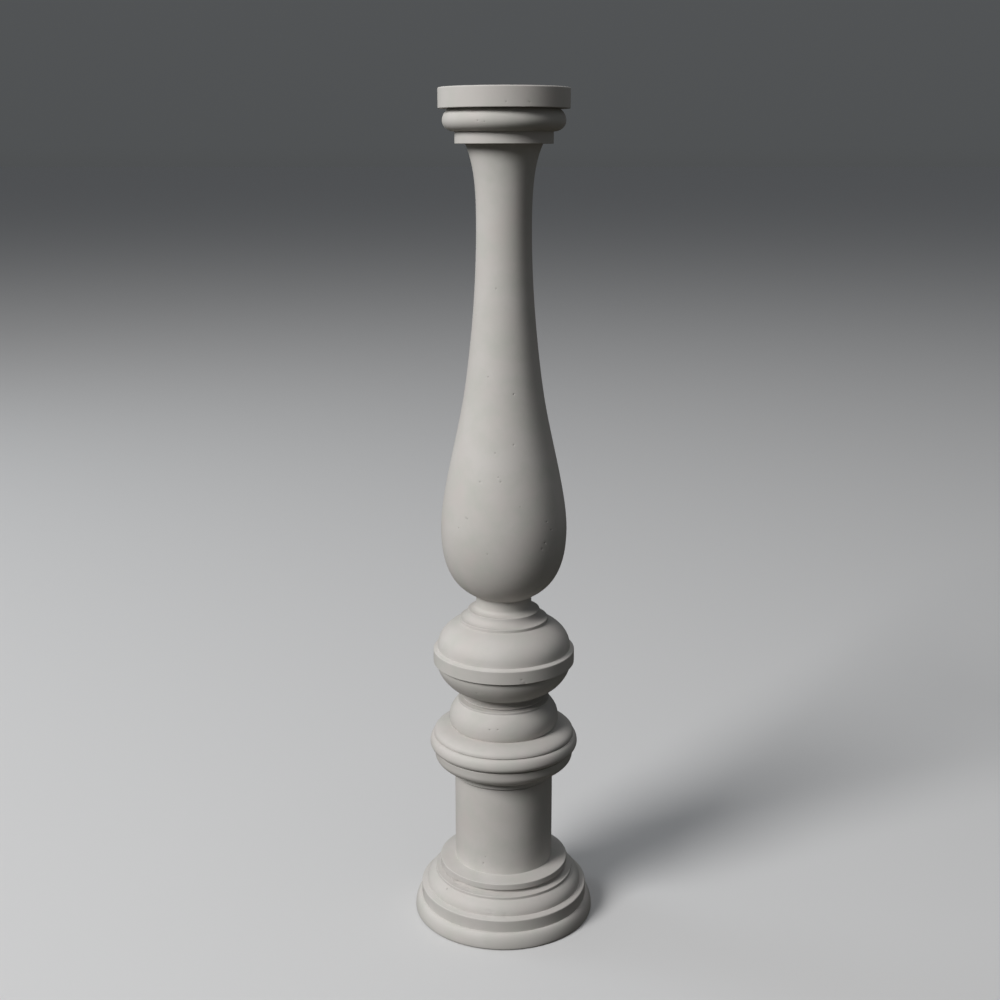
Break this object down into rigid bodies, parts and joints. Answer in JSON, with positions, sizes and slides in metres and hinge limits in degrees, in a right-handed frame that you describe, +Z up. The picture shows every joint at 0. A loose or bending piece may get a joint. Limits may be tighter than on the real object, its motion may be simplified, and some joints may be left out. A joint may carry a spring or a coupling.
{
  "type": "stone baluster",
  "caption": "Turned stone baluster: moulded round foot, plain drum, ringed bell, banded double bulb and a pear-shaped shaft under a flat top disc. Stands upright or carries a rail.",
  "frame": {"origin": "middle of the flat underside, on the surface that the baluster stands on", "axes": "+Z up along the axis of the turning; every direction round it is alike, and +Y points away from the picture's viewer"},
  "size_m": [0.2006, 0.2006, 0.9],
  "materials": {
    "pale_stone": "smooth matt, fine pores"
  },
  "bodies": {
    "root": {"baluster": "pale_stone"}
  },
  "joints": []
}
